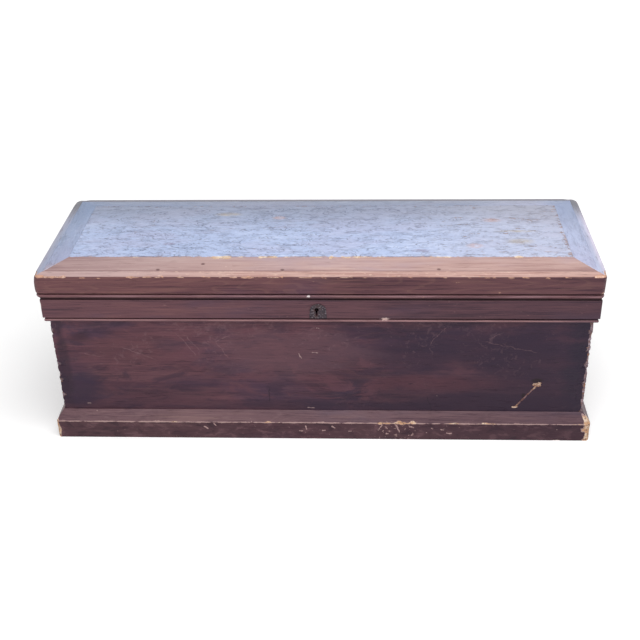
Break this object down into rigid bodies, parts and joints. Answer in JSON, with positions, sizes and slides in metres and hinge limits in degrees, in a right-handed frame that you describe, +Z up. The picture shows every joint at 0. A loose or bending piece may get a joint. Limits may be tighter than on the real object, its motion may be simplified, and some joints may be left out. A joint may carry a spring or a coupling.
{
  "type": "blanket chest",
  "caption": "Long dovetailed wooden blanket chest with a bevelled box lid on butt hinges, beaded mouldings, a mitred base and a keyhole lock.",
  "frame": {"origin": "centre of the base moulding's footprint, on the floor", "axes": "+X along the chest's length (to the right seen from the front), +Y to the back, +Z up"},
  "size_m": [1.2286, 0.4066, 0.4362],
  "materials": {
    "case_wood": "satin",
    "moulding_wood": "satin",
    "lid_wood": "satin",
    "raw_wood": "matte",
    "iron": "matte"
  },
  "bodies": {
    "case": {"front_board": "case_wood", "back_board": "case_wood", "left_end_board": "case_wood", "right_end_board": "case_wood", "bottom_board_front": "raw_wood", "bottom_board_back": "raw_wood", "base_moulding_front": "moulding_wood", "base_moulding_back": "moulding_wood", "base_moulding_left": "moulding_wood", "base_moulding_right": "moulding_wood", "collar_front": "moulding_wood", "collar_left": "moulding_wood", "collar_right": "moulding_wood", "escutcheon": "iron", "escutcheon_nails": "iron", "lock_plate": "iron", "lock_cap": "iron", "lock_screws": "iron", "lock_drill_pin": "iron", "lock_stump": "iron", "lock_spring": "iron", "case_hinge_leaf_left": "iron", "case_hinge_leaf_right": "iron", "hinge_pin_left": "iron", "hinge_pin_right": "iron", "case_hinge_screws": "iron"},
    "lid": {"lid_rim_front": "moulding_wood", "lid_rim_back": "moulding_wood", "lid_rim_left": "moulding_wood", "lid_rim_right": "moulding_wood", "lid_frame_front": "lid_wood", "lid_frame_back": "lid_wood", "lid_frame_left": "lid_wood", "lid_frame_right": "lid_wood", "lid_panel": "lid_wood", "lid_hinge_leaf_left": "iron", "lid_hinge_leaf_right": "iron", "lid_hinge_screws": "iron", "lock_strike": "iron", "strike_screws": "iron"},
    "bolt": {"lock_bolt": "iron"}
  },
  "joints": [
    {"name": "lid_hinge", "type": "hinge", "parent": "case", "child": "lid", "pos_m": [0, 0.1893, 0.36665], "axis": [-1, 0, 0], "range_deg": [0, 110]},
    {"name": "bolt_slide", "type": "slide", "parent": "case", "child": "bolt", "axis": [1, 0, 0], "range_m": [0, 0.008]}
  ]
}
